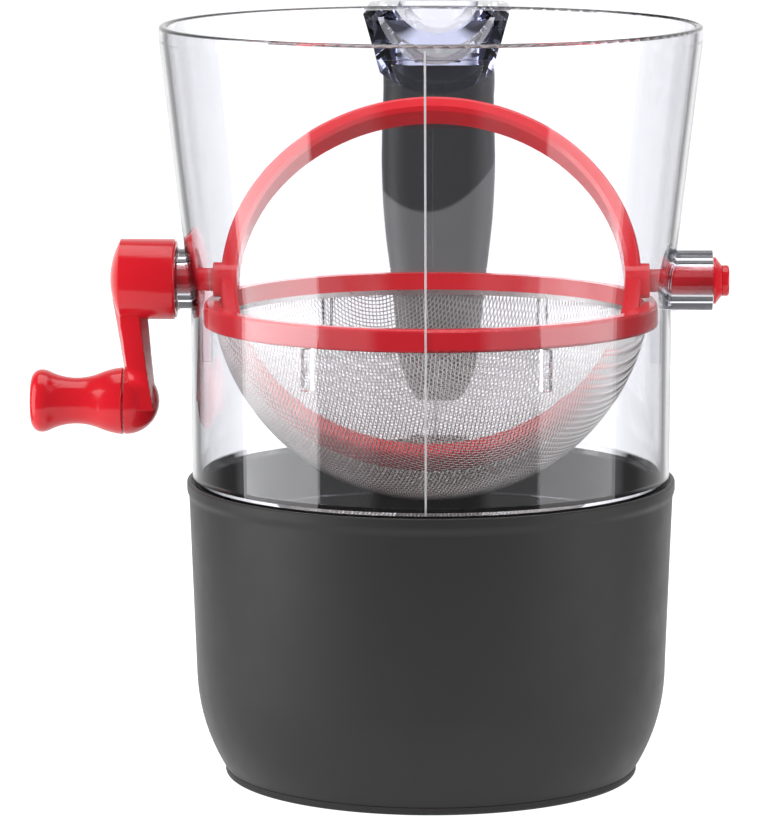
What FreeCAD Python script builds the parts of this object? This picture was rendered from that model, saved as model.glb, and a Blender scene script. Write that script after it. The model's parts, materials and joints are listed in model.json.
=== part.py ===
import FreeCAD, Part

import math
import os
import re

import Sketcher
from FreeCAD import Placement, Rotation, Vector

# Hand-cranked flour sifter: a clear hopper that stands in a deep base cup, a hemispherical
# sieve inside it, and a hoop that a side crank turns against the sieve.
# Frame: +Z up, origin at the centre of the foot on the hopper's axis, crank on -X, handle on +Y.
# Millimetres throughout. Everything that turns shares one axis, parallel to X, at crank_height.

DRIVING = {
    # hopper
    "total_height": 203.3,
    "rim_radius": 72.7,
    "neck_radius": 64.75,
    "neck_height": 130.0,
    "shell_wall": 2.2,
    "shoulder_height": 81.0,
    "spigot_radius": 63.6,
    "rib_count": 6,
    # base cup
    "cup_height": 80.6,
    "cup_radius": 65.4,
    "cup_wall": 2.0,
    "lip_radius": 66.0,
    "bead_curve": 3.0,
    "seat_height": 66.0,
    "foot_radius": 56.0,
    "foot_height": 2.0,
    "belly_radius": 50.8,
    "belly_top": 27.0,
    # sieve, a sphere about the crank axis
    "crank_height": 134.5,
    "sieve_radius": 59.3,
    "sieve_cloth": 0.6,
    "ring_radius": 61.1,
    "ring_inner": 57.2,
    "ring_depth": 6.1,
    "ring_drop": 5.2,
    "hem_inset": 0.7,
    "hem_thick": 0.6,
    "hem_height": 4.0,
    # agitator hoop
    "hoop_radius": 56.6,
    "hoop_thick": 4.5,
    "hoop_width": 8.6,
    "hoop_lean": 38.0,
    "collar_radius": 4.7,
    "collar_end": 58.8,
    # crank
    "boss_radius": 8.3,
    "boss_end": 75.6,
    "shaft_radius": 3.95,
    "shaft_clearance": 0.05,
    "stub_radius": 3.1,
    "tip_side": 4.2,
    "hub_radius": 10.85,
    "hub_start": 68.5,
    "hub_length": 15.0,
    "hub_dome": 2.9,
    "hub_edge": 0.6,
    "throw": 33.2,
    "elbow_radius": 9.0,
    "elbow_start": 82.7,
    "elbow_centre": 82.5,
    # knob
    "knob_gap": 0.3,
    "knob_length": 25.1,
    "knob_radius": 9.1,
    "knob_end_radius": 8.5,
    "knob_waist": 6.25,
    "knob_hollow": 16.0,
    "knob_round": 2.8,
    "waist_place": 12.9,
    "knob_bore": 2.55,
    "knob_counterbore": 4.8,
    "screw_radius": 2.0,
    "screw_depth": 5.5,
    # handle
    "grip_plane": 109.5,
    "grip_top": 184.0,
    "grip_length": 98.0,
    "grip_gap": 0.1,
    "bridge_end": 98.0,
    "elbow_end": 119.0,
    "bridge_sink": 1.2,
    "bridge_half": 20.8,
    "bridge_brow": 16.1,
    "bridge_belly": 6.1,
    "dish_half": 11.4,
    "dish_depth": 6.6,
    "dish_floor": 4.7,
    "dish_end": 107.0,
    "tunnel_half": 17.0,
    "tunnel_floor": 186.5,
    "tunnel_drop": 2.1,
    "tang_half": 8.0,
    "tang_thick": 5.0,
    "tang_foot": 98.0,
}

CUTTING = ("PartDesign::Pocket", "PartDesign::Groove")

doc = FreeCAD.newDocument("flour_sifter")
sheet = doc.addObject("Spreadsheet::Sheet", "dims")
for row, (alias, number) in enumerate(DRIVING.items(), start=1):
    sheet.set(f"A{row}", alias)
    sheet.set(f"B{row}", str(number))
    sheet.setAlias(f"B{row}", alias)
doc.recompute()


def bound(expression):
    """The expression with every driving dimension written as a cell of the sheet."""
    return re.sub(r"[a-z_]+", lambda word: f"dims.{word[0]}" if word[0] in DRIVING else word[0],
                  expression)


def value(expression):
    """The number that an expression gives with the sheet as it stands."""
    result = sheet.evalExpression(expression)
    return float(getattr(result, "Value", result))


# ---------------------------------------------------------------- modelling helpers

def new_body(label, height=None, lean=False):
    """An empty PartDesign body, raised to a height and leaned about X with the hoop if asked."""
    body = doc.addObject("PartDesign::Body", label)
    body.Label = label
    if lean:
        body.Placement = Placement(Vector(0, 0, 0), Rotation(Vector(1, 0, 0), -1))
        body.setExpression("Placement.Rotation.Angle", "dims.hoop_lean * -1 deg")
    if height:
        body.setExpression("Placement.Base.z", bound(height))
    return body


def new_sketch(body, role, offset="0", lift="0"):
    """A sketch on an origin plane, moved along the plane's normal and along its own Y axis."""
    sketch = body.newObject("Sketcher::SketchObject", f"{body.Name}_outline")
    plane = [item for item in body.Origin.OriginFeatures if item.Role == role][0]
    sketch.AttachmentSupport = [(plane, "")]
    sketch.MapMode = "FlatFace"
    sketch.AttachmentOffset = Placement(Vector(0, value(lift), value(offset)), Rotation())
    sketch.setExpression("AttachmentOffset.Base.z", bound(offset))
    sketch.setExpression("AttachmentOffset.Base.y", bound(lift))
    return sketch


def fix(sketch, kind, *ends_and_expression):
    """A dimensional constraint whose size is an expression of the driving dimensions."""
    *ends, expression = ends_and_expression
    index = sketch.addConstraint(Sketcher.Constraint(kind, *ends, value(expression)))
    sketch.setExpression(f"Constraints[{index}]", bound(expression))


def arc_between(start, end, radius, side):
    """The short arc from start to end with its centre on the left or right of the travel."""
    along = end - start
    left = Vector(-along.y, along.x, 0).normalize()
    reach = math.sqrt(max(radius ** 2 - (along.Length / 2) ** 2, 0))
    centre = (start + end) * 0.5 + left * (reach if side == "left" else -reach)
    first, last = (start, end) if side == "left" else (end, start)
    begin = math.atan2(first.y - centre.y, first.x - centre.x)
    finish = math.atan2(last.y - centre.y, last.x - centre.x)
    if finish < begin:
        finish += 2 * math.pi
    return Part.ArcOfCircle(Part.Circle(centre, Vector(0, 0, 1), radius), begin, finish)


def outline(body, role, corners, offset="0", lift="0"):
    """A closed outline. A corner is (x, y), or (x, y, radius, side) where an arc leaves it."""
    sketch = new_sketch(body, role, offset, lift)
    points = [Vector(value(corner[0]), value(corner[1]), 0) for corner in corners]
    ends = []
    for index, corner in enumerate(corners):
        start = points[index]
        end = points[(index + 1) % len(points)]
        if len(corner) == 2:
            sketch.addGeometry(Part.LineSegment(start, end), False)
            ends.append((1, 2))
        else:
            sketch.addGeometry(arc_between(start, end, value(corner[2]), corner[3]), False)
            ends.append((1, 2) if corner[3] == "left" else (2, 1))
    for index, corner in enumerate(corners):
        following = (index + 1) % len(corners)
        sketch.addConstraint(Sketcher.Constraint(
            "Coincident", index, ends[index][1], following, ends[following][0]))
        fix(sketch, "DistanceX", index, ends[index][0], corner[0])
        fix(sketch, "DistanceY", index, ends[index][0], corner[1])
        if len(corner) > 2:
            fix(sketch, "Radius", index, corner[2])
    return sketch


def disc(body, role, radius, lift="0"):
    """A circle about the plane's origin, or above it by the lift."""
    sketch = new_sketch(body, role)
    sketch.addGeometry(Part.Circle(Vector(0, 0, 0), Vector(0, 0, 1), value(radius)), False)
    sketch.addConstraint(Sketcher.Constraint("Coincident", 0, 3, -1, 1))
    fix(sketch, "Radius", 0, radius)
    sketch.setExpression("AttachmentOffset.Base.y", bound(lift))
    return sketch


def box_outline(body, role, half_x, low_y, high_y, offset="0"):
    """A rectangle centred in X between two Y values."""
    corners = [(f"-({half_x})", low_y), (half_x, low_y), (half_x, high_y), (f"-({half_x})", high_y)]
    return outline(body, role, corners, offset)


def spin(body, sketch, axis, kind="Revolution"):
    """A full turn of a sketch about its own V_Axis or H_Axis, added or (Groove) cut."""
    feature = body.newObject(f"PartDesign::{kind}", f"{body.Name}_{kind.lower()}")
    feature.Profile = sketch
    feature.ReferenceAxis = (sketch, [axis])
    feature.Angle = 360
    doc.recompute()
    return feature


def push(body, sketch, length, kind="Pad", both_ways=False, backwards=False):
    """A sketch pushed along its normal, added or (Pocket) cut; both_ways halves the length."""
    feature = body.newObject(f"PartDesign::{kind}", f"{body.Name}_{kind.lower()}")
    feature.Profile = sketch
    feature.Type = "Length"
    feature.Length = value(length)
    feature.setExpression("Length", bound(length))
    if both_ways:
        feature.SideType = "Symmetric"
    feature.Reversed = backwards
    doc.recompute()
    return feature


def blend_through(body, sections, ruled=False):
    """A solid lofted through a row of sketches."""
    feature = body.newObject("PartDesign::AdditiveLoft", f"{body.Name}_loft")
    feature.Profile = sections[0]
    feature.Sections = sections[1:]
    feature.Ruled = ruled
    doc.recompute()
    return feature


def repeat_round(body, feature, count, total=360):
    """The feature repeated round the body's Z axis."""
    pattern = body.newObject("PartDesign::PolarPattern", f"{body.Name}_ring")
    pattern.Originals = [feature]
    z_axis = [item for item in body.Origin.OriginFeatures if item.Role == "Z_Axis"][0]
    pattern.Axis = (z_axis, [""])
    pattern.Angle = total
    pattern.Occurrences = int(value(count))
    body.Tip = pattern
    doc.recompute()
    return pattern


def mirror_across_x(body, feature):
    """The feature repeated on the other side of the YZ plane."""
    mirrored = body.newObject("PartDesign::Mirrored", f"{body.Name}_mirror")
    mirrored.Originals = [feature]
    plane = [item for item in body.Origin.OriginFeatures if item.Role == "YZ_Plane"][0]
    mirrored.MirrorPlane = (plane, [""])
    body.Tip = mirrored
    doc.recompute()
    return mirrored


def soften(body, radius, wanted):
    """Fillets every edge of the body so far that wanted(edge) picks."""
    base = body.Tip
    names = [f"Edge{index}" for index, edge in enumerate(base.Shape.Edges, start=1) if wanted(edge)]
    feature = body.newObject("PartDesign::Fillet", f"{body.Name}_fillet")
    feature.Base = (base, names)
    feature.Radius = radius
    doc.recompute()
    return feature


def round_edge(radius_wanted, height, slack=0.05):
    """Picks full circles about the body's Z axis with a given radius and height."""
    def wanted(edge):
        curve = edge.Curve
        if not isinstance(curve, Part.Circle) or abs(curve.Radius - radius_wanted) > slack:
            return False
        return abs(curve.Center.z - height) < slack and abs(curve.Center.x) < slack
    return wanted


# ---------------------------------------------------------------- base

def base_cup():
    """Deep cup with a bellied foot, a seat for the hopper's spigot and a beaded lip."""
    body = new_body("base_cup")
    belly_inner = "belly_radius - cup_wall"
    profile = outline(body, "XZ_Plane", [
        ("0", "foot_height + 1.2"),
        ("foot_radius - 7", "foot_height + 1.2"),
        ("foot_radius - 6.5", "foot_height"),
        ("foot_radius - 4", "foot_height"),
        ("foot_radius - 4", "foot_height + 1.6"),
        ("foot_radius - 2", "foot_height + 1.6"),
        ("foot_radius - 2", "foot_height"),
        ("foot_radius - 0.2", "foot_height"),
        ("foot_radius + 0.1", "foot_height + 0.4", "belly_radius", "left"),
        ("cup_radius - 1.8", "belly_top"),
        ("cup_radius", "cup_height - 4.8", "bead_curve", "right"),
        ("(cup_radius + lip_radius) / 2", "cup_height - 3.5", "bead_curve", "left"),
        ("lip_radius", "cup_height - 2.2"),
        ("lip_radius", "cup_height - 0.6", "0.6", "left"),
        ("lip_radius - 0.6", "cup_height"),
        ("spigot_radius + 1.3", "cup_height"),
        ("spigot_radius + 0.3", "cup_height - 1"),
        ("spigot_radius + 0.3", "seat_height"),
        ("spigot_radius - 0.8", "seat_height"),
        ("cup_radius - 1.8 - cup_wall", "belly_top", belly_inner, "right"),
        ("foot_radius - 1", "foot_height + 3.4"),
        ("0", "foot_height + 3.4"),
    ])
    spin(body, profile, "V_Axis")
    return body


def foot_ring():
    """Soft ring under the cup, keyed into a groove in its underside."""
    body = new_body("foot_ring")
    profile = outline(body, "XZ_Plane", [
        ("foot_radius - 6", "0"),
        ("foot_radius - 0.9", "0", "0.9", "left"),
        ("foot_radius", "0.9"),
        ("foot_radius", "foot_height"),
        ("foot_radius - 2", "foot_height"),
        ("foot_radius - 2", "foot_height + 1.6"),
        ("foot_radius - 4", "foot_height + 1.6"),
        ("foot_radius - 4", "foot_height"),
        ("foot_radius - 6", "foot_height"),
    ])
    spin(body, profile, "V_Axis")
    return body


# ---------------------------------------------------------------- hopper

def body_shell():
    """Clear hopper: flared wall, spigot, two axle bosses, sieve ribs, thumb bridge and tang."""
    body = new_body("body_shell")
    solid = outline(body, "XZ_Plane", [
        ("0", "seat_height + 0.1"),
        ("spigot_radius", "seat_height + 0.1"),
        ("spigot_radius", "shoulder_height"),
        ("neck_radius - 0.25", "shoulder_height + 1"),
        ("neck_radius", "neck_height"),
        ("rim_radius", "total_height - 4"),
        ("rim_radius", "total_height"),
        ("0", "total_height"),
    ])
    spin(body, solid, "V_Axis")
    bosses = disc(body, "YZ_Plane", "boss_radius", lift="crank_height")
    push(body, bosses, "boss_end * 2", both_ways=True)
    bridge(body)
    cavity = outline(body, "XZ_Plane", [
        ("0", "seat_height - 2"),
        ("spigot_radius - shell_wall + 0.1", "seat_height - 2"),
        ("spigot_radius - shell_wall + 0.1", "shoulder_height - 1"),
        ("neck_radius - shell_wall - 0.25", "shoulder_height + 2"),
        ("neck_radius - shell_wall", "neck_height"),
        ("rim_radius - shell_wall", "total_height - 4"),
        ("rim_radius - shell_wall", "total_height + 2"),
        ("0", "total_height + 2"),
    ])
    spin(body, cavity, "V_Axis", "Groove")
    thumb_dish(body)
    tang(body)
    ribs(body)
    bores = disc(body, "YZ_Plane", "shaft_radius + shaft_clearance", lift="crank_height")
    push(body, bores, "boss_end * 2 + 4", "Pocket", both_ways=True)
    rim_top = value("total_height")
    outer_edge = round_edge(value("rim_radius"), rim_top)
    inner_edge = round_edge(value("rim_radius - shell_wall"), rim_top)
    soften(body, 0.9, lambda edge: outer_edge(edge) or inner_edge(edge))
    return body


def bridge(body):
    """Clear bridge behind the rim: a round-bellied beam, then a round-backed elbow on the grip."""
    top = "total_height - bridge_sink"
    brow = "grip_top + 0.7"
    brim = [
        ("bridge_half", f"{top} - 1"),
        ("bridge_half - 1", top),
        ("-bridge_half + 1", top),
        ("-bridge_half", f"{top} - 1"),
    ]
    beam = outline(body, "XZ_Plane", brim + [
        ("-bridge_brow", brow, "(bridge_brow ^ 2 + bridge_belly ^ 2) / (2 * bridge_belly)", "left"),
        ("bridge_brow", brow),
    ], offset="-bridge_end")
    push(body, beam, "bridge_end - neck_radius + shell_wall")
    elbow = outline(body, "XZ_Plane", brim + [
        ("-bridge_brow", "grip_top + grip_gap"),
        ("bridge_brow", "grip_top + grip_gap"),
    ], offset="-elbow_end")
    push(body, elbow, "elbow_end - bridge_end + 1")
    spread = "bridge_half + 2"
    start = "elbow_end - bridge_half"
    beyond = "elbow_end + 2"
    corners = outline(body, "XY_Plane", [
        ("-bridge_half", start, "bridge_half", "right"),
        ("0", "elbow_end", "bridge_half", "right"),
        ("bridge_half", start),
        (spread, start),
        (spread, beyond),
        (f"-({spread})", beyond),
        (f"-({spread})", start),
    ], offset="grip_top - 1")
    push(body, corners, "total_height - grip_top + 2", "Pocket", backwards=True)


def thumb_dish(body):
    """Round-bottomed trough in the bridge's top, and the crescent tunnel that cores it below.

    The tunnel opens at the elbow's back and leaves a band of even thickness under the trough.
    """
    top = "total_height - bridge_sink"
    dish_radius = "(dish_half ^ 2 + dish_depth ^ 2) / (2 * dish_depth)"
    dish = outline(body, "XZ_Plane", [
        ("-dish_half", top, dish_radius, "left"),
        ("dish_half", top),
        ("dish_half", "total_height + 1"),
        ("-dish_half", "total_height + 1"),
    ], offset="-dish_end")
    push(body, dish, "dish_end - rim_radius + shell_wall / 2", "Pocket", backwards=True)
    horns = f"{top} - tunnel_drop"
    roof_radius = f"{dish_radius} + dish_floor"
    roof_half = f"sqrt(({roof_radius}) ^ 2 - ({dish_radius} - dish_depth + tunnel_drop) ^ 2)"
    depth = f"({horns} - tunnel_floor)"
    floor_radius = f"(tunnel_half ^ 2 + {depth} ^ 2) / (2 * {depth})"
    tunnel = outline(body, "XZ_Plane", [
        (f"-({roof_half})", horns, roof_radius, "left"),
        (roof_half, horns),
        ("tunnel_half", horns, floor_radius, "right"),
        ("-tunnel_half", horns),
    ], offset="-elbow_end - 1")
    push(body, tunnel, "elbow_end - rim_radius - 0.5", "Pocket", backwards=True)


def tang(body):
    """Flat tongue below the elbow that the two grip halves close on."""
    tongue = box_outline(body, "XY_Plane", "tang_half", "grip_plane - tang_thick / 2",
                         "grip_plane + tang_thick / 2", offset="tang_foot")
    push(body, tongue, "grip_top + 1 - tang_foot")


def ribs(body):
    """Upright ribs inside the wall that the sieve's ring stands on."""
    rib = outline(body, "XY_Plane", [
        ("ring_radius - 1.6", "-1"),
        ("neck_radius - 1", "-1"),
        ("neck_radius - 1", "1"),
        ("ring_radius - 1.6", "1"),
    ], offset="crank_height - ring_drop - ring_depth - 11")
    feature = push(body, rib, "11")
    repeat_round(body, feature, "rib_count")


def grip_half(label, facing, depths, roundness):
    """One half of the grip: D-shaped sections from the tip up to the elbow, slotted for the tang.

    The sections are given by their drop below the grip's top, half width and depth; roundness
    is the share of the depth that the corners take.
    """
    body = new_body(label)
    body.setExpression("Placement.Base.y", "dims.grip_plane")
    drops = ("grip_length", "88", "74", "52", "31", "14", "0")
    halves = ("6.5", "11.3", "13.2", "15.6", "17.0", "16.7", "15.9")
    sections = []
    for drop, half, depth in zip(drops, halves, depths):
        flank = f"{facing}{depth} * (1 - {roundness})"
        face = f"{facing}{depth}"
        corner = f"{depth} * {roundness}"
        turn = "left" if facing == "" else "right"
        sections.append(outline(body, "XY_Plane", [
            (f"-{half}", "0"),
            (half, "0"),
            (half, flank, corner, turn),
            (f"{half} - {corner}", face),
            (f"-({half} - {corner})", face, corner, turn),
            (f"-{half}", flank),
        ], offset=f"grip_top - {drop}"))
    blend_through(body, sections)
    slot_low, slot_high = ("0", "tang_thick / 2") if facing == "" else ("-tang_thick / 2", "0")
    slot = box_outline(body, "XY_Plane", "tang_half", slot_low, slot_high, offset="tang_foot")
    push(body, slot, "grip_top + 1 - tang_foot", "Pocket", backwards=True)
    return body


def grip_front():
    """Grip half that faces the hopper."""
    return grip_half("grip_front", "-", ("4.5", "7.2", "9", "10.6", "11.4", "11.3", "11"), 0.72)


def grip_back():
    """Grip half that the palm closes on."""
    return grip_half("grip_back", "", ("4.5", "7.2", "9", "10.6", "11.2", "10.5", "9.3"), 0.9)


# ---------------------------------------------------------------- sieve

def sieve_frame():
    """Ring that carries the sieve, grooved from below for the hem of the wire cloth."""
    body = new_body("sieve_frame", "crank_height")
    profile = outline(body, "XZ_Plane", [
        ("ring_inner", "-ring_drop - ring_depth + 1.5"),
        ("ring_inner + hem_inset", "-ring_drop - ring_depth + 1.5"),
        ("ring_inner + hem_inset", "-ring_drop - ring_depth + hem_height"),
        ("ring_inner + hem_inset + hem_thick", "-ring_drop - ring_depth + hem_height"),
        ("ring_inner + hem_inset + hem_thick", "-ring_drop - ring_depth"),
        ("ring_radius", "-ring_drop - ring_depth"),
        ("ring_radius", "-ring_drop"),
        ("ring_inner", "-ring_drop"),
    ])
    spin(body, profile, "V_Axis")
    top = round_edge(value("ring_radius"), value("-ring_drop"))
    bottom = round_edge(value("ring_radius"), value("-ring_drop - ring_depth"))
    soften(body, 0.8, lambda edge: top(edge) or bottom(edge))
    return body


def mesh_hem():
    """Steel band folded round the edge of the wire cloth and set in the ring's groove."""
    body = new_body("mesh_hem", "crank_height")
    profile = outline(body, "XZ_Plane", [
        ("ring_inner + hem_inset", "-ring_drop - ring_depth"),
        ("ring_inner + hem_inset + hem_thick", "-ring_drop - ring_depth"),
        ("ring_inner + hem_inset + hem_thick", "-ring_drop - ring_depth + hem_height"),
        ("ring_inner + hem_inset", "-ring_drop - ring_depth + hem_height"),
    ])
    spin(body, profile, "V_Axis")
    return body


def sieve_mesh():
    """Bowl of wire cloth, a sphere about the crank axis cut off level with the ring."""
    body = new_body("sieve_mesh", "crank_height")
    outside = "sieve_radius"
    inside = "sieve_radius - sieve_cloth"
    brim = "ring_drop + ring_depth"
    profile = outline(body, "XZ_Plane", [
        ("0", f"-({inside})"),
        ("0", f"-({outside})", outside, "left"),
        (f"sqrt(({outside}) ^ 2 - ({brim}) ^ 2)", f"-({brim})"),
        (f"sqrt(({inside}) ^ 2 - ({brim}) ^ 2)", f"-({brim})", inside, "right"),
    ])
    spin(body, profile, "V_Axis")
    return body


# ---------------------------------------------------------------- agitator and its two pivots

def agitator_hoop():
    """Full hoop in a leaning plane through the crank axis, with a socketed collar each side."""
    body = new_body("agitator_hoop", "crank_height", lean=True)
    push(body, disc(body, "YZ_Plane", "collar_radius"), "collar_end * 2", both_ways=True)
    middle = box_outline(body, "XY_Plane", "hoop_radius - hoop_thick", "-hoop_width", "hoop_width",
                         offset="-hoop_width")
    push(body, middle, "hoop_width * 2", "Pocket", backwards=True)
    inner = "hoop_radius - hoop_thick"
    band = outline(body, "XY_Plane", [
        (inner, "-hoop_width / 2 + 1"),
        (f"{inner} + 1", "-hoop_width / 2"),
        ("hoop_radius - 1.2", "-hoop_width / 2", "1.2", "left"),
        ("hoop_radius", "-hoop_width / 2 + 1.2"),
        ("hoop_radius", "hoop_width / 2 - 1.2", "1.2", "left"),
        ("hoop_radius - 1.2", "hoop_width / 2"),
        (f"{inner} + 1", "hoop_width / 2"),
        (inner, "hoop_width / 2 - 1"),
    ])
    spin(body, band, "V_Axis")
    socket = box_outline(body, "YZ_Plane", "tip_side / 2", "-tip_side / 2", "tip_side / 2",
                         offset="collar_end")
    mirror_across_x(body, push(body, socket, "hoop_thick", "Pocket"))
    return body


def square_tip(body, side):
    """The square end that drives a collar's socket, on the side of X given by its sign."""
    tip = box_outline(body, "YZ_Plane", "tip_side / 2", "-tip_side / 2", "tip_side / 2",
                      offset=f"{side}(collar_end - hoop_thick)")
    push(body, tip, "hoop_thick + 0.3", backwards=(side == "-"))


def crank_axle():
    """Left pivot: turns in the boss, drives the hoop, and is pressed into the crank's hub."""
    body = new_body("crank_axle", "crank_height", lean=True)
    profile = outline(body, "XZ_Plane", [
        ("-hub_start - hub_length + 0.5", "0"),
        ("-collar_end - 0.3", "0"),
        ("-collar_end - 0.3", "stub_radius"),
        ("-neck_radius + shell_wall - 0.8", "stub_radius"),
        ("-neck_radius + shell_wall - 1.6", "shaft_radius"),
        ("-hub_start - hub_length + 0.5", "shaft_radius"),
    ])
    spin(body, profile, "H_Axis")
    square_tip(body, "-")
    return body


def pivot_pin():
    """Right pivot: the same end as the crank's axle, and a cone and button outside the boss."""
    body = new_body("pivot_pin", "crank_height", lean=True)
    profile = outline(body, "XZ_Plane", [
        ("collar_end + 0.3", "0"),
        ("collar_end + 0.3", "stub_radius"),
        ("neck_radius - shell_wall + 0.8", "stub_radius"),
        ("neck_radius - shell_wall + 1.6", "shaft_radius"),
        ("boss_end + 0.3", "shaft_radius"),
        ("boss_end + 0.3", "shaft_radius + 2.35"),
        ("boss_end + 0.9", "shaft_radius + 2.35"),
        ("boss_end + 2.7", "shaft_radius"),
        ("boss_end + 2.7", "shaft_radius + 0.2"),
        ("boss_end + 4.1", "shaft_radius + 0.2"),
        ("boss_end + 4.5", "shaft_radius - 0.2"),
        ("boss_end + 4.5", "0"),
    ])
    spin(body, profile, "H_Axis")
    square_tip(body, "")
    return body


# ---------------------------------------------------------------- crank and knob

def crank_arm():
    """Domed hub over the boss, a bar with drafted flanks and a round elbow for the knob."""
    body = new_body("crank_arm", "crank_height")
    dome_radius = "(hub_radius ^ 2 + hub_dome ^ 2) / (2 * hub_dome)"
    far = "-hub_start - hub_length"
    pocket_floor = "-boss_end - 0.6"
    pocket_radius = "boss_radius + 0.4"
    hub = outline(body, "XZ_Plane", [
        (f"{far} + 0.5", "0"),
        (f"{far} + 0.5", "shaft_radius"),
        (pocket_floor, "shaft_radius"),
        (pocket_floor, pocket_radius),
        ("-hub_start", pocket_radius),
        ("-hub_start", "hub_radius - hub_edge", "hub_edge", "right"),
        ("-hub_start - hub_edge", "hub_radius"),
        (far, "hub_radius", dome_radius, "left"),
        (f"{far} - hub_dome", "0"),
    ])
    spin(body, hub, "H_Axis")
    elbow = outline(body, "XZ_Plane", [
        ("-elbow_start", "0"),
        ("-elbow_centre + elbow_radius", "0", "elbow_radius", "left"),
        ("-elbow_centre", "elbow_radius"),
        ("-elbow_start", "elbow_radius"),
    ], lift="-throw")
    spin(body, elbow, "H_Axis")
    # From the elbow up: height from the axis, the two flanks where they are widest, the two
    # sides of the flat front face, and half the depth.
    stations = (
        ("-throw - 1.5", "-80.9", "-73.9", "-79.5", "-74.6", "8.2"),
        ("-throw + 9", "-82.9", "-75.2", "-81.5", "-76.4", "6.8"),
        ("-hub_radius + 0.5", "-85.1", "-76.4", "-83.5", "-78.4", "4.8"),
        ("-hub_radius + 5.5", "-86.0", "-76.9", "-84.2", "-78.9", "4.2"),
    )
    sections = []
    for height, left, right, face_left, face_right, half_depth in stations:
        sections.append(outline(body, "XY_Plane", [
            (left, "0"),
            (face_left, f"-{half_depth}"),
            (face_right, f"-{half_depth}"),
            (right, "0"),
            (face_right, half_depth),
            (face_left, half_depth),
        ], offset=height))
    blend_through(body, sections)
    screw_hole = outline(body, "XZ_Plane", [
        ("-elbow_start - 1", "0"),
        ("-elbow_start - 1", "screw_radius"),
        ("-elbow_start + screw_depth + 0.2", "screw_radius"),
        ("-elbow_start + screw_depth + 0.2", "0"),
    ], lift="-throw")
    spin(body, screw_hole, "H_Axis", "Groove")
    return body


def crank_knob():
    """Waisted knob that spins on its shoulder screw."""
    body = new_body("crank_knob", "crank_height - throw")
    inner = "-elbow_start - knob_gap"
    outer = "-elbow_start - knob_gap - knob_length"
    waist = f"{inner} - waist_place"
    neck_reach = "6.2"
    end_reach = "7.2"
    neck_run = f"waist_place - 0.4 - {neck_reach}"
    end_run = f"knob_length - knob_round - waist_place - {end_reach}"
    neck_height = hollow_height(neck_reach)
    end_height = hollow_height(end_reach)
    neck_curve = leaving_curve(neck_reach, neck_run, f"knob_radius - ({neck_height})")
    end_curve = leaving_curve(end_reach, end_run, f"knob_end_radius - ({end_height})")
    profile = outline(body, "XZ_Plane", [
        (inner, "knob_bore"),
        (inner, "knob_radius - 0.4"),
        (f"{inner} - 0.4", "knob_radius", neck_curve, "left"),
        (f"{waist} + {neck_reach}", neck_height, "knob_hollow", "right"),
        (f"{waist} - {end_reach}", end_height, end_curve, "left"),
        (f"{outer} + knob_round", "knob_end_radius", "knob_round", "left"),
        (outer, "knob_end_radius - knob_round"),
        (outer, "knob_counterbore"),
        (f"{outer} + 4.5", "knob_counterbore"),
        (f"{outer} + 4.5", "knob_bore"),
    ])
    spin(body, profile, "H_Axis")
    return body


def hollow_height(reach):
    """Radius of the knob's waist curve at a distance along the axis from its narrowest point."""
    return f"knob_waist + knob_hollow - sqrt(knob_hollow ^ 2 - ({reach}) ^ 2)"


def leaving_curve(reach, run, rise):
    """Radius of the arc that leaves the waist curve smoothly and goes run along and rise out."""
    lean = f"(({reach}) / knob_hollow)"
    offset = f"{lean} * ({run}) - sqrt(1 - {lean} ^ 2) * ({rise})"
    return f"(({run}) ^ 2 + ({rise}) ^ 2) / (2 * ({offset}))"


def knob_screw():
    """Shoulder screw that holds the knob on the crank's elbow."""
    body = new_body("knob_screw", "crank_height - throw")
    seat = "-elbow_start - knob_gap - knob_length + 4.3"
    profile = outline(body, "XZ_Plane", [
        (f"{seat} - 2.2", "0"),
        ("-elbow_start + screw_depth", "0"),
        ("-elbow_start + screw_depth", "screw_radius"),
        ("-elbow_start", "screw_radius"),
        ("-elbow_start", "knob_bore - 0.05"),
        (seat, "knob_bore - 0.05"),
        (seat, "knob_counterbore - 0.5"),
        (f"{seat} - 1.6", "knob_counterbore - 0.5"),
        (f"{seat} - 2.2", "knob_counterbore - 1.1"),
    ])
    spin(body, profile, "H_Axis")
    slot = box_outline(body, "YZ_Plane", "0.5", "-3", "3", offset=f"{seat} - 2.2")
    push(body, slot, "1", "Pocket", backwards=True)
    return body


def knob_cap():
    """Plug that closes the counterbore in the knob's end."""
    body = new_body("knob_cap", "crank_height - throw")
    outer = "-elbow_start - knob_gap - knob_length"
    profile = outline(body, "XZ_Plane", [
        (f"{outer} + 1.6", "0"),
        (f"{outer} + 1.6", "knob_counterbore"),
        (outer, "knob_counterbore"),
        (outer, "0"),
    ])
    spin(body, profile, "H_Axis")
    return body


# ---------------------------------------------------------------- build, check and write

SUB_PARTS = (
    base_cup, foot_ring,
    body_shell, grip_front, grip_back, sieve_frame, mesh_hem, sieve_mesh,
    agitator_hoop, crank_axle, pivot_pin, crank_arm, knob_screw,
    crank_knob, knob_cap,
)

nodes = [make() for make in SUB_PARTS]
doc.recompute()

for item in doc.Objects:
    if "Invalid" in item.State or "Error" in item.State:
        raise RuntimeError(f"{item.Label} did not compute: {item.State}")
    base = getattr(item, "BaseFeature", None)
    if item.TypeId in CUTTING and item.Shape.Volume > base.Shape.Volume - 0.5:
        raise RuntimeError(f"{item.Label} cuts nothing")

for node in nodes:
    if node.Shape.isNull() or not node.Shape.isValid():
        raise RuntimeError(f"{node.Label} has no valid shape")

os.makedirs("parts", exist_ok=True)
for node in nodes:
    node.Shape.exportStep(f"parts/{node.Label}.step")
    size = node.Shape.optimalBoundingBox()
    print(f"{node.Label:15s} solids {len(node.Shape.Solids)} volume {node.Shape.Volume:9.1f} "
          f"x {size.XMin:7.2f} {size.XMax:7.2f} y {size.YMin:7.2f} {size.YMax:7.2f} "
          f"z {size.ZMin:7.2f} {size.ZMax:7.2f}")
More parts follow.
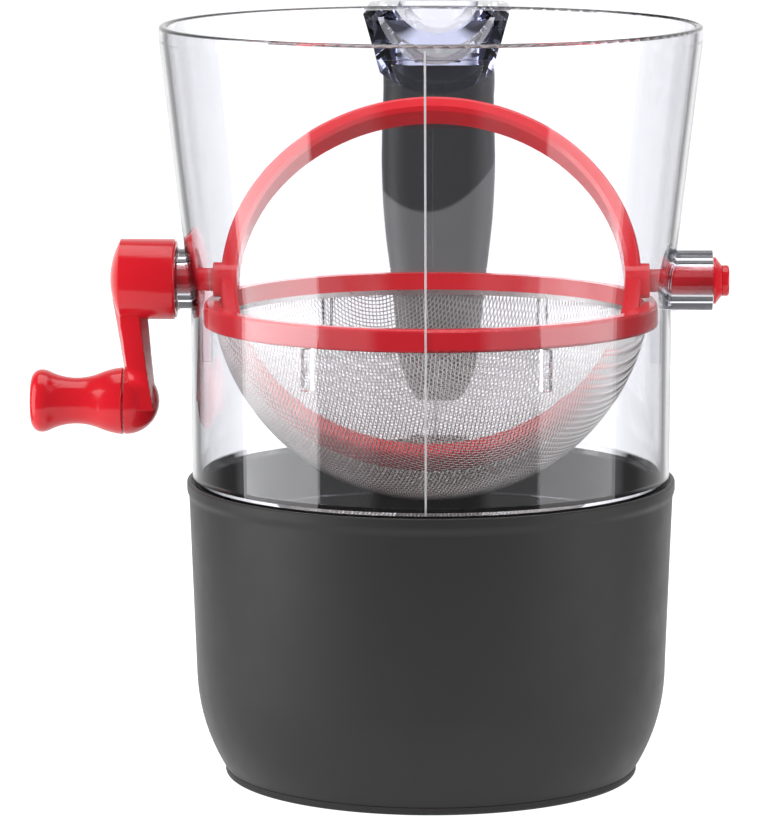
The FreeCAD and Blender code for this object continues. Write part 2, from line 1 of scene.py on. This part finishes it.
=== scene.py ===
import json
import math

import bpy
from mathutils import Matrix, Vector
from mathutils.bvhtree import BVHTree


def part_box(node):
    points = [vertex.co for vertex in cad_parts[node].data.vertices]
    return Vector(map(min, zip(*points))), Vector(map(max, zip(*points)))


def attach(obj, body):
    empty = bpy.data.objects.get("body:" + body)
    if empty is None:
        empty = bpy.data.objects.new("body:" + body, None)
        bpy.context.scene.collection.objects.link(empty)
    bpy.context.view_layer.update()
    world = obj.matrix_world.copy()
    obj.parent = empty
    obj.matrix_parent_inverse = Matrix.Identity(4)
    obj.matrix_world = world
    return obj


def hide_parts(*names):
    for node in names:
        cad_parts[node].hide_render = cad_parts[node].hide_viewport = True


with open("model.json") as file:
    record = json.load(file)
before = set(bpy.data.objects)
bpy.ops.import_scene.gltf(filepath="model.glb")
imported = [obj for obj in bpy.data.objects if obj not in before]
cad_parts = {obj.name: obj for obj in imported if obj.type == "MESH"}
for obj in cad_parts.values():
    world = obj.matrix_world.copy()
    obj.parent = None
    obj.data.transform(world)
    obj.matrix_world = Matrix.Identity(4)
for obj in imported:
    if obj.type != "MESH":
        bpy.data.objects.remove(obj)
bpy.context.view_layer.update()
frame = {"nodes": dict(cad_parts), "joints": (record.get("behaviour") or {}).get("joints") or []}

# Looks for a hand-cranked flour sifter. Metres, +Z up, crank on -X, handle on +Y.

scene = bpy.context.scene
scene.view_settings.view_transform = "Standard"
scene.cycles.caustics_refractive = False
scene.cycles.max_bounces = 16
scene.cycles.transmission_bounces = 16

# Camera: distance from the hopper's axis, height, downward tilt and turn about the axis
CAMERA_DISTANCE = 1.2875
CAMERA_HEIGHT = 0.2968
CAMERA_TILT = 0.152
CAMERA_TURN = math.radians(1.2)
CAMERA_LENS_MM = 212.6
CAMERA_SENSOR_MM = 36
CAMERA_SHIFT = -0.0588

# Wire cloth of the sieve
CLOTH_PITCH = 0.00105
WIRE_RADIUS = 0.00015
CLOTH_TURN = math.radians(17)

# Parting ridges: half widths at the foot and crest, how far each lies off the wall, and the
# gaps that the ridges leave at their ends
RIDGE_FOOT = 0.00028
RIDGE_CREST = 0.00016
RIDGE_SUNK = -0.00003
RIDGE_PROUD = 0.00011
RIDGE_SPANS = 60
RIDGE_ABOVE_CUP = 0.0005
RIDGE_BELOW_RIM = 0.0015
RIDGE_BELOW_BRIDGE = 0.008
WELL_OUTSIDE = 0.2

# Painted shade on the upper grip: how far its lowest point is below the grip's top and off the
# middle, how its lower edge curves up from there (per metre), and half that edge's softness
SHADE_DROP = 0.042
SHADE_MIDDLE = -0.0035
SHADE_CURVE = 33.0
SHADE_BLUR = 0.0005

CLEAR_IOR = 1.53

# Soft boxes: turn from the front in degrees, distance, height, width and height, radiance
SOFT_BOXES = {
    "soft_box_left": (-76, 1.6, 0.2, (1.35, 2.4), 3.0),
    "soft_box_right": (76, 1.6, 0.2, (1.35, 2.4), 1.7),
    "soft_box_top": (180, 0.15, 1.5, (1.3, 1.1), 2.4),
    "fill": (-8, 1.7, 0.8, (1.0, 1.0), 4.6),
}
AIM_HEIGHT = 0.12

# World brightness in front of the sifter and behind it, and the part of the way from side (0)
# to straight behind (1) over which it turns from one to the other
FRONT_STRENGTH = 0.12
BACK_STRENGTH = 1.0
TURNING = (0.45, 0.9)

# What is seen through the clear plastic, from straight in front (0) to straight behind (1)
DARK_CARD = 0.08
PALE_WALL = 0.7
BACKDROP = 1.0
CARD_STOPS = (
    (0.05, DARK_CARD),
    (0.075, PALE_WALL),
    (0.62, PALE_WALL),
    (0.67, DARK_CARD),
    (0.955, DARK_CARD),
    (0.982, BACKDROP),
)
CARD_STRENGTH = 1.27

crank_spin = next(joint for joint in frame["joints"] if joint["name"] == "crank_spin")
crank_axis_height = crank_spin["pos_m"][2]


# ---------------------------------------------------------------- node helpers

def new_material(name):
    """A material with a Principled shader, its node tree and that shader."""
    material = bpy.data.materials.new(name)
    material.use_nodes = True
    shader = material.node_tree.nodes["Principled BSDF"]
    return material, material.node_tree, shader


def add_node(tree, kind, settings=None, **inputs):
    """A node with some of its properties and input sockets set."""
    node = tree.nodes.new(kind)
    for key, setting in (settings or {}).items():
        setattr(node, key, setting)
    for key, setting in inputs.items():
        node.inputs[key.replace("_", " ")].default_value = setting
    return node


def feed(tree, source, socket):
    """Links a socket to another node's output, or sets it to a plain value."""
    if isinstance(source, bpy.types.NodeSocket):
        tree.links.new(source, socket)
    else:
        socket.default_value = source


def axes(tree, coordinates):
    """The X, Y and Z outputs of one kind of texture coordinates."""
    place = add_node(tree, "ShaderNodeTexCoord")
    parts = add_node(tree, "ShaderNodeSeparateXYZ")
    tree.links.new(place.outputs[coordinates], parts.inputs["Vector"])
    return parts.outputs


def noise(tree, scale, detail, stretch=(1, 1, 1)):
    """Noise in the object's own coordinates; a stretch below 1 draws it out along that axis."""
    place = add_node(tree, "ShaderNodeTexCoord")
    mapping = add_node(tree, "ShaderNodeMapping", Scale=stretch)
    texture = add_node(tree, "ShaderNodeTexNoise", Scale=scale, Detail=detail)
    tree.links.new(place.outputs["Object"], mapping.inputs["Vector"])
    tree.links.new(mapping.outputs["Vector"], texture.inputs["Vector"])
    return texture.outputs["Fac"]


def calculate(tree, operation, *values):
    """The result of a Math node; each value is a number or another node's output."""
    node = add_node(tree, "ShaderNodeMath", {"operation": operation})
    for value, socket in zip(values, node.inputs):
        feed(tree, value, socket)
    return node.outputs[0]


def remap(tree, value, low, high, from_low=0.3, from_high=0.7):
    """A value spread over a new range; the old range is that of most noise unless given."""
    ranger = add_node(tree, "ShaderNodeMapRange")
    ranger.inputs["From Min"].default_value = from_low
    ranger.inputs["From Max"].default_value = from_high
    ranger.inputs["To Min"].default_value = low
    ranger.inputs["To Max"].default_value = high
    tree.links.new(value, ranger.inputs["Value"])
    return ranger.outputs["Result"]


def blend(tree, kind, factor, first, second):
    """A blend of two FLOAT or RGBA values, which runs from first to second with the factor."""
    first_socket, second_socket, result = {"FLOAT": (2, 3, 0), "RGBA": (6, 7, 2)}[kind]
    node = add_node(tree, "ShaderNodeMix", {"data_type": kind})
    tree.links.new(factor, node.inputs[0])
    feed(tree, first, node.inputs[first_socket])
    feed(tree, second, node.inputs[second_socket])
    return node.outputs[result]


def mottle(tree, scale, detail, dark, light):
    """A colour that drifts from dark to light over the surface."""
    return blend(tree, "RGBA", noise(tree, scale, detail), (*dark, 1), (*light, 1))


def bump(tree, height, distance, strength, under=None):
    """A bump from a height; under is an earlier bump that it lies on."""
    node = add_node(tree, "ShaderNodeBump", Distance=distance, Strength=strength)
    tree.links.new(height, node.inputs["Height"])
    if under is not None:
        tree.links.new(under, node.inputs["Normal"])
    return node.outputs["Normal"]


# ---------------------------------------------------------------- materials

def satin_plastic(name, roughness, grain, grain_depth, specular):
    """Satin moulded plastic with no colour yet: uneven gloss and a fine eroded grain."""
    material, tree, shader = new_material(name)
    shader.inputs["Specular IOR Level"].default_value = specular
    shader.inputs["Sheen Weight"].default_value = 0.15
    shader.inputs["Sheen Roughness"].default_value = 0.3
    gloss = noise(tree, scale=120, detail=6)
    tree.links.new(remap(tree, gloss, *roughness), shader.inputs["Roughness"])
    waves = bump(tree, noise(tree, scale=35, detail=2), distance=0.00012, strength=0.25)
    pits = bump(tree, noise(tree, grain, detail=3), grain_depth, strength=0.6, under=waves)
    tree.links.new(pits, shader.inputs["Normal"])
    return material, tree, shader


def moulded_plastic(name, dark, light, roughness, grain, grain_depth, specular):
    """Satin moulded plastic in one mottled colour."""
    material, tree, shader = satin_plastic(name, roughness, grain, grain_depth, specular)
    colour = mottle(tree, scale=45, detail=5, dark=dark, light=light)
    tree.links.new(colour, shader.inputs["Base Color"])
    return material


def grip_with_painted_shade(name):
    """Satin grip with painted shade: the upper grip darker, its lower edge a slanting curve."""
    material, tree, shader = satin_plastic(name, roughness=(0.4, 0.5), grain=2400,
                                           grain_depth=0.00003, specular=0.3)
    place = axes(tree, "Object")
    # Mask of the painted shade on the upper grip, bounded below by a curve
    aside = calculate(tree, "ADD", place["X"], -SHADE_MIDDLE)
    square = calculate(tree, "MULTIPLY", aside, aside)
    level = calculate(tree, "MULTIPLY_ADD", square, -SHADE_CURVE, place["Z"])
    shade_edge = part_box("grip_front")[1].z - SHADE_DROP
    painted_shade_mask = remap(tree, level, 0.0, 1.0, shade_edge - SHADE_BLUR, shade_edge + SHADE_BLUR)
    pale = mottle(tree, 50, 4, dark=(0.160, 0.160, 0.158), light=(0.180, 0.179, 0.177))
    # Painted shade: this dark colour on the upper grip stands in for shadow
    dark = mottle(tree, 50, 4, dark=(0.026, 0.026, 0.028), light=(0.032, 0.032, 0.034))
    tree.links.new(blend(tree, "RGBA", painted_shade_mask, pale, dark), shader.inputs["Base Color"])
    return material


def clear_ridge(name):
    """The same clear plastic, frosted where the mould halves met."""
    material, tree, shader = new_material(name)
    shader.inputs["Base Color"].default_value = (0.95, 0.95, 0.97, 1)
    shader.inputs["Transmission Weight"].default_value = 0.55
    shader.inputs["IOR"].default_value = CLEAR_IOR
    gloss = noise(tree, scale=300, detail=4)
    tree.links.new(remap(tree, gloss, 0.35, 0.55), shader.inputs["Roughness"])
    frost = bump(tree, noise(tree, scale=900, detail=2), distance=0.00003, strength=0.4)
    tree.links.new(frost, shader.inputs["Normal"])
    return material


def glossy_red(name, dark, light):
    """Glossy red plastic with a faint ripple and fine handling marks."""
    material, tree, shader = new_material(name)
    colour = mottle(tree, scale=60, detail=4, dark=dark, light=light)
    tree.links.new(colour, shader.inputs["Base Color"])
    gloss = noise(tree, scale=260, detail=6)
    tree.links.new(remap(tree, gloss, 0.13, 0.19), shader.inputs["Roughness"])
    ripple = bump(tree, noise(tree, scale=90, detail=2), distance=0.00008, strength=0.25)
    scratches = noise(tree, scale=700, detail=5, stretch=(1, 0.25, 0.25))
    marks = bump(tree, scratches, distance=0.000012, strength=0.5, under=ripple)
    tree.links.new(marks, shader.inputs["Normal"])
    return material


def clear_plastic(name):
    """Clear plastic, faintly lavender where it is thick, with a soft moulding ripple."""
    material, tree, shader = new_material(name)
    shader.inputs["Base Color"].default_value = (0.985, 0.985, 1.0, 1)
    shader.inputs["Transmission Weight"].default_value = 1.0
    shader.inputs["IOR"].default_value = CLEAR_IOR
    gloss = noise(tree, scale=160, detail=6)
    tree.links.new(remap(tree, gloss, 0.0, 0.025), shader.inputs["Roughness"])
    ripple = bump(tree, noise(tree, scale=28, detail=2), distance=0.00006, strength=0.2)
    tree.links.new(ripple, shader.inputs["Normal"])
    absorb = add_node(tree, "ShaderNodeVolumeAbsorption", Color=(0.68, 0.70, 0.86, 1), Density=35)
    tree.links.new(absorb.outputs["Volume"], tree.nodes["Material Output"].inputs["Volume"])
    return material


def bright_wire(name, colour, roughness):
    """Drawn stainless wire: metal with slight tarnish from place to place."""
    material, tree, shader = new_material(name)
    tarnish = tuple(channel * 0.8 for channel in colour)
    metal = mottle(tree, scale=140, detail=4, dark=tarnish, light=colour)
    tree.links.new(metal, shader.inputs["Base Color"])
    shader.inputs["Metallic"].default_value = 1.0
    gloss = noise(tree, scale=900, detail=4)
    tree.links.new(remap(tree, gloss, *roughness), shader.inputs["Roughness"])
    drawn = bump(tree, noise(tree, scale=5000, detail=2), distance=0.00001, strength=0.4)
    tree.links.new(drawn, shader.inputs["Normal"])
    return material


def dress(nodes, material):
    """Gives CAD nodes a material in every slot."""
    for name in nodes:
        mesh = frame["nodes"][name].data
        mesh.materials.clear()
        mesh.materials.append(material)


def round_edges(node, width):
    """Rounds a CAD node's sharp edges with modifiers; its mesh stays as it is."""
    piece = frame["nodes"][node]
    weld = piece.modifiers.new("weld", "WELD")
    weld.merge_threshold = 0.000002
    bevel = piece.modifiers.new("bevel", "BEVEL")
    bevel.width = width
    bevel.segments = 3
    bevel.limit_method = "ANGLE"
    bevel.angle_limit = math.radians(35)
    bevel.harden_normals = True


# ---------------------------------------------------------------- mesh helpers

def new_piece(name, verts, faces, material):
    """A mesh object in the scene with one material."""
    mesh = bpy.data.meshes.new(name)
    mesh.from_pydata(verts, [], faces)
    mesh.materials.append(material)
    piece = bpy.data.objects.new(name, mesh)
    scene.collection.objects.link(piece)
    return piece


def tube_faces(first, spans):
    """Faces of a closed tube of four-cornered sections, whose points start at index first."""
    faces = []
    for k in range(spans):
        for corner in range(4):
            near = first + 4 * k + corner
            beyond = first + 4 * k + (corner + 1) % 4
            faces.append((near, beyond, beyond + 4, near + 4))
    end = first + 4 * spans
    faces.append((first + 3, first + 2, first + 1, first))
    faces.append((end, end + 1, end + 2, end + 3))
    return faces


# ---------------------------------------------------------------- parting lines

def parting_lines(material):
    """Fine upright ridges down the hopper's front and back where the mould halves met."""
    wall = frame["nodes"]["body_shell"]
    tree = BVHTree.FromPolygons([vert.co.copy() for vert in wall.data.vertices],
                                [tuple(face.vertices) for face in wall.data.polygons])
    section = (
        (-RIDGE_FOOT, RIDGE_SUNK),
        (-RIDGE_CREST, RIDGE_PROUD),
        (RIDGE_CREST, RIDGE_PROUD),
        (RIDGE_FOOT, RIDGE_SUNK),
    )
    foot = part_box("base_cup")[1].z + RIDGE_ABOVE_CUP
    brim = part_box("body_shell")[1].z - RIDGE_BELOW_RIM
    under_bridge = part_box("grip_front")[1].z - RIDGE_BELOW_BRIDGE
    for name, side, top in (("parting_front", -1, brim), ("parting_back", 1, under_bridge)):
        verts = []
        for k in range(RIDGE_SPANS + 1):
            height = foot + (top - foot) * k / RIDGE_SPANS
            start = Vector((0, side * WELL_OUTSIDE, height))
            spot = tree.ray_cast(start, Vector((0, -side, 0)))[0]
            for across, proud in section:
                verts.append((across, spot.y + side * proud, height))
        faces = tube_faces(0, RIDGE_SPANS)
        if side > 0:
            faces = [face[::-1] for face in faces]
        ridge = new_piece(name, verts, faces, material)
        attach(ridge, "hopper")


# ---------------------------------------------------------------- wire cloth

def cloth_wires(name, along, across, sign, material):
    """One direction of the sieve's weave, pressed into a sphere about the crank axis.

    Each wire is a circle about the axis along, and it passes over and under the wires of the
    other direction, which are circles about the axis across.
    """
    low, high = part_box("sieve_mesh")
    centre = Vector((0, 0, crank_axis_height))
    radius = centre.z - low.z - 2 * WIRE_RADIUS
    brim = centre.z - high.z
    step = CLOTH_PITCH / radius
    down = Vector((0, 0, -1))
    last = int(math.acos(brim / radius) / step)
    verts = []
    faces = []
    for i in range(-last, last + 1):
        ring_radius = radius * math.cos(i * step)
        reach = math.acos(min(brim / ring_radius, 1))
        stations = [(-reach, 0)]
        for j in range(-last, last + 1):
            share = math.sin(j * step) / math.cos(i * step)
            if abs(share) < 1 and abs(math.asin(share)) < reach - step / 2:
                stations.append((math.asin(share), sign * (-1) ** (i + j)))
        stations.append((reach, 0))
        if len(stations) < 4:
            continue
        faces.extend(tube_faces(len(verts), len(stations) - 1))
        for turn, side in stations:
            outward = across * math.sin(turn) + down * math.cos(turn)
            spot = along * (radius * math.sin(i * step)) + outward * ring_radius
            normal = spot.normalized()
            travel = across * math.cos(turn) - down * math.sin(turn)
            beside = travel.cross(normal).normalized()
            middle = centre + spot + normal * (side * WIRE_RADIUS)
            for out, flank in ((1, 0), (0, 1), (-1, 0), (0, -1)):
                verts.append(tuple(middle + (normal * out + beside * flank) * WIRE_RADIUS))
    piece = new_piece(name, verts, faces, material)
    piece.data.polygons.foreach_set("use_smooth", [True] * len(faces))
    piece.data.update()
    return piece


def wire_bowl(material):
    """The woven bowl in place of the plain sieve shell."""
    along = Vector((math.cos(CLOTH_TURN), math.sin(CLOTH_TURN), 0))
    across = Vector((-math.sin(CLOTH_TURN), math.cos(CLOTH_TURN), 0))
    warp = cloth_wires("sieve_warp", along, across, 1, material)
    weft = cloth_wires("sieve_weft", across, along, -1, material)
    for piece in (warp, weft):
        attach(piece, "hopper")
        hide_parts("sieve_mesh")


# ---------------------------------------------------------------- stage

def soft_box(name, turn, distance, height, size, radiance):
    """A rectangular lamp at an angle from the front, facing the sifter."""
    lamp = bpy.data.lights.new(name, "AREA")
    lamp.shape = "RECTANGLE"
    lamp.size, lamp.size_y = size
    lamp.energy = radiance * math.pi * size[0] * size[1]
    holder = bpy.data.objects.new(name, lamp)
    turn = math.radians(turn)
    holder.location = (distance * math.sin(turn), -distance * math.cos(turn), height)
    aim = Vector((0, 0, AIM_HEIGHT)) - holder.location
    holder.rotation_euler = aim.to_track_quat("-Z", "Y").to_euler()
    holder.visible_camera = False
    scene.collection.objects.link(holder)
    return holder


def white_sheet(name, half, glow, shade):
    """A square pale sheet at the sifter's foot, partly lit from within so that it stays even."""
    material, tree, shader = new_material(name)
    shader.inputs["Base Color"].default_value = (shade, shade, shade, 1)
    shader.inputs["Roughness"].default_value = 0.9
    shader.inputs["Emission Color"].default_value = (1, 1, 1, 1)
    shader.inputs["Emission Strength"].default_value = glow
    material.cycles.emission_sampling = "NONE"
    corners = [(-half, -half, 0), (half, -half, 0), (half, half, 0), (-half, half, 0)]
    sheet = new_piece(name, corners, [(0, 1, 2, 3)], material)
    return sheet


def studio_world():
    """White behind the sifter, dim in front of it, and white wherever the camera sees it.

    Light that comes through the clear plastic meets a narrow white backdrop with dark cards
    beside it, so that thick and curved parts go dark, and pale walls to the sides.
    """
    world = bpy.data.worlds.new("studio")
    scene.world = world
    world.use_nodes = True
    tree = world.node_tree
    behind = axes(tree, "Generated")["Y"]
    wide = remap(tree, behind, FRONT_STRENGTH, BACK_STRENGTH, *TURNING)
    cards = add_node(tree, "ShaderNodeValToRGB")
    cards.color_ramp.elements[0].color = (DARK_CARD, DARK_CARD, DARK_CARD, 1)
    for place, shade in CARD_STOPS:
        cards.color_ramp.elements.new(place).color = (shade, shade, shade, 1)
    tree.links.new(remap(tree, behind, 0.0, 1.0, -1.0, 1.0), cards.inputs["Fac"])
    narrow = calculate(tree, "MULTIPLY", cards.outputs["Color"], CARD_STRENGTH)
    rays = add_node(tree, "ShaderNodeLightPath").outputs
    lighting = blend(tree, "FLOAT", rays["Is Transmission Ray"], wide, narrow)
    strength = blend(tree, "FLOAT", rays["Is Camera Ray"], lighting, 1.0)
    background = tree.nodes["Background"]
    background.inputs["Color"].default_value = (1, 1, 1, 1)
    tree.links.new(strength, background.inputs["Strength"])


def set_stage():
    """Pale floor, two side soft boxes, one overhead and a fill from the camera's side.

    The floor only gives the camera an even white. The table isn't seen itself: it lights the
    sifter from below and shows in its reflections. The fill leaves no highlight and isn't seen
    through the clear plastic.
    """
    studio_world()
    floor = white_sheet("floor", half=5.0, glow=1.0, shade=0.3)
    floor.visible_glossy = False
    floor.visible_diffuse = False
    floor.visible_transmission = False
    floor.visible_shadow = False
    table = white_sheet("table", half=0.25, glow=0.55, shade=0.5)
    table.location.z = -0.0005
    table.visible_camera = False
    table.visible_transmission = False
    boxes = {name: soft_box(name, *settings) for name, settings in SOFT_BOXES.items()}
    fill = boxes["fill"]
    fill.visible_glossy = False
    fill.visible_transmission = False
    fill.data.cycles.use_multiple_importance_sampling = False


def set_camera():
    """The camera in front of the sifter, a little to the right and above the rim."""
    lens = bpy.data.cameras.new("camera")
    lens.lens = CAMERA_LENS_MM
    lens.sensor_width = CAMERA_SENSOR_MM
    lens.shift_x = CAMERA_SHIFT
    camera = bpy.data.objects.new("camera", lens)
    camera.location = (CAMERA_DISTANCE * math.sin(CAMERA_TURN),
                       -CAMERA_DISTANCE * math.cos(CAMERA_TURN), CAMERA_HEIGHT)
    camera.rotation_euler = (math.pi / 2 - CAMERA_TILT, 0, CAMERA_TURN)
    scene.collection.objects.link(camera)
    scene.camera = camera


# ---------------------------------------------------------------- build

set_camera()
set_stage()

round_edges("crank_arm", 0.0006)

charcoal = moulded_plastic("charcoal", dark=(0.024, 0.024, 0.024), light=(0.0285, 0.0281, 0.0278),
                           roughness=(0.42, 0.5), grain=2600, grain_depth=0.00002, specular=0.3)
foot = moulded_plastic("foot", dark=(0.027, 0.027, 0.027), light=(0.033, 0.0325, 0.032),
                       roughness=(0.55, 0.65), grain=1800, grain_depth=0.00003, specular=0.25)
red = glossy_red("red", dark=(0.68, 0.010, 0.020), light=(0.74, 0.014, 0.026))
# Painted light: the same red as the crank, made brighter
red_with_painted_light = glossy_red("red_with_painted_light", dark=(0.90, 0.014, 0.028), light=(0.95, 0.018, 0.034))

dress(["base_cup"], charcoal)
dress(["foot_ring"], foot)
dress(["grip_front", "grip_back"], grip_with_painted_shade("grip"))
dress(["crank_axle", "pivot_pin", "crank_arm", "crank_knob", "knob_cap"], red)
# Painted light: these two get a brighter copy of the crank's red, because they are mostly seen
# through the clear wall.
dress(["sieve_frame", "agitator_hoop"], red_with_painted_light)
dress(["mesh_hem", "knob_screw"], bright_wire("steel", (0.62, 0.61, 0.6), (0.25, 0.4)))
dress(["body_shell"], clear_plastic("clear"))
# With refractive caustics off, the clear wall would shade what is inside it as if opaque.
frame["nodes"]["body_shell"].visible_shadow = False

parting_lines(clear_ridge("ridge"))
wire_bowl(bright_wire("wire_cloth", (0.86, 0.845, 0.83), (0.28, 0.42)))
